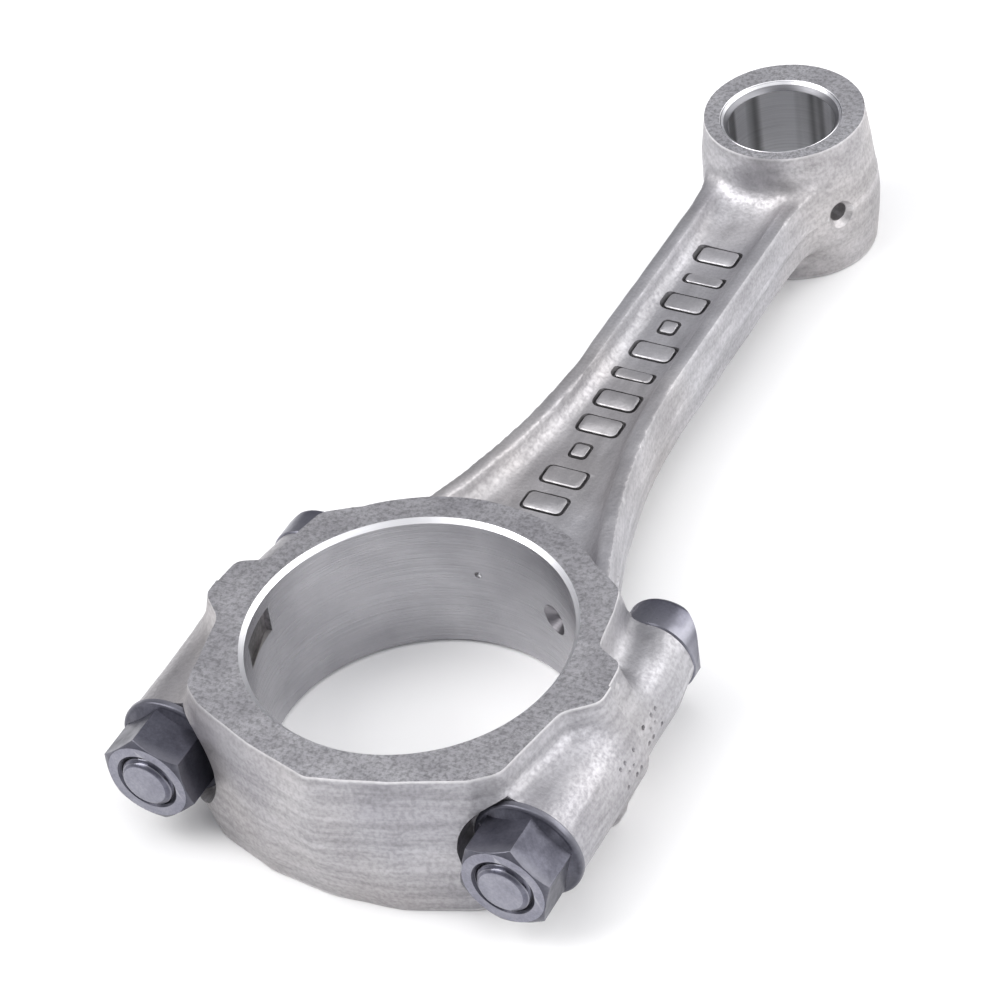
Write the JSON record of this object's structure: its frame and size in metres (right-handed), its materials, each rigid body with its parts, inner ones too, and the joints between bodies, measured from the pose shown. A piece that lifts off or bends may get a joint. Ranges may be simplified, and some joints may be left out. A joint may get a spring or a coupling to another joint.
{
  "type": "connecting rod",
  "caption": "Forged connecting rod with an I-section beam, a bushed small end and a split big end closed by a bearing cap with two bolts and nuts.",
  "frame": {"origin": "under the middle of the whole rod, on the plane it lies on", "axes": "+Y along the rod from the big end to the small end, +Z along both bores, +X to the side of the small-end oil hole"},
  "size_m": [0.0806, 0.1952, 0.027],
  "materials": {
    "forged_steel": "shot-blasted forging with ground faces",
    "forged_steel_cap": "shot-blasted forging with ground faces",
    "bolt_steel": "blackened steel, ground tip",
    "nut_steel": "blackened steel",
    "bush_metal": "bored smooth"
  },
  "bodies": {
    "rod": {"rod_forging": "forged_steel", "small_end_bush": "bush_metal", "rod_bolt_left": "bolt_steel", "rod_bolt_right": "bolt_steel"},
    "cap": {"bearing_cap": "forged_steel_cap"},
    "nut_left": {"rod_nut_left": "nut_steel"},
    "nut_right": {"rod_nut_right": "nut_steel"}
  },
  "joints": [
    {"name": "cap_slide", "type": "slide", "parent": "rod", "child": "cap", "axis": [0, -1, 0], "range_m": [0, 0.045]},
    {"name": "nut_left_turn", "type": "hinge", "parent": "cap", "child": "nut_left", "pos_m": [-0.0312, -0.08995, 0.0135], "axis": [0, -1, 0], "continuous": true},
    {"name": "nut_right_turn", "type": "hinge", "parent": "cap", "child": "nut_right", "pos_m": [0.0312, -0.08995, 0.0135], "axis": [0, -1, 0], "continuous": true}
  ]
}
